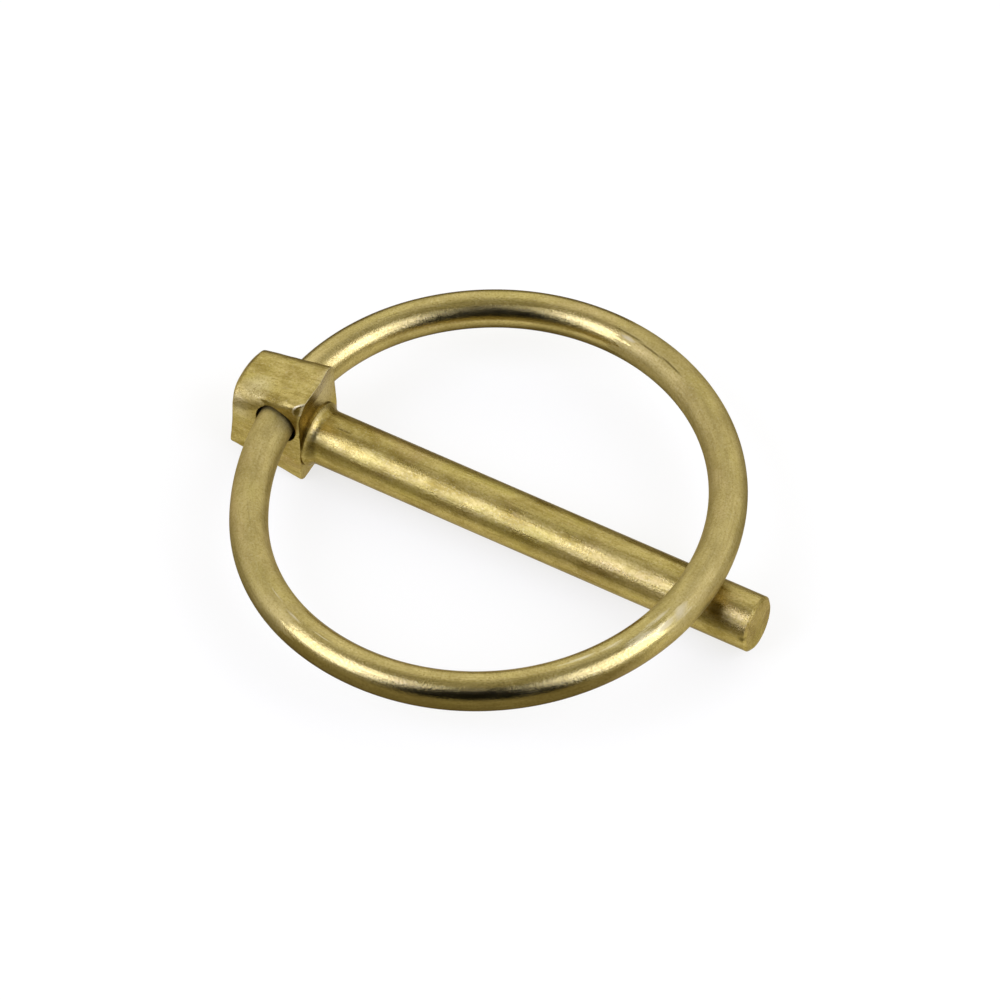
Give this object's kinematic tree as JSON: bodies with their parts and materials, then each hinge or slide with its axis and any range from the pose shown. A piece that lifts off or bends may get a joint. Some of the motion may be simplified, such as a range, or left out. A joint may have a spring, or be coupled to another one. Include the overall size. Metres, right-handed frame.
{
  "type": "lynch pin",
  "caption": "Lynch pin with a block head, a plain round shank and a wire ring through the head that swings over to lie against the shank's tail.",
  "frame": {"origin": "on the shank's axis, in the flat seat under the head that stops the pin in its hole", "axes": "+X along the shank to the tail, +Y along the hole through the head to its far side, +Z to the top of the head, away from the shank"},
  "size_m": [0.049, 0.0429, 0.0095],
  "materials": {
    "pin_zinc": "forged steel, zinc plated and yellow passivated, satin with drawing marks along the shank",
    "ring_zinc": "spring steel wire, zinc plated and yellow passivated, satin, rubbed paler in patches"
  },
  "bodies": {
    "pin": {"pin": "pin_zinc"},
    "ring": {"ring": "ring_zinc"}
  },
  "joints": [
    {"name": "ring_flip", "type": "hinge", "parent": "pin", "child": "ring", "pos_m": [-0.00225, 0, 0.0031], "axis": [0, -1, 0], "range_deg": [0, 347]}
  ]
}
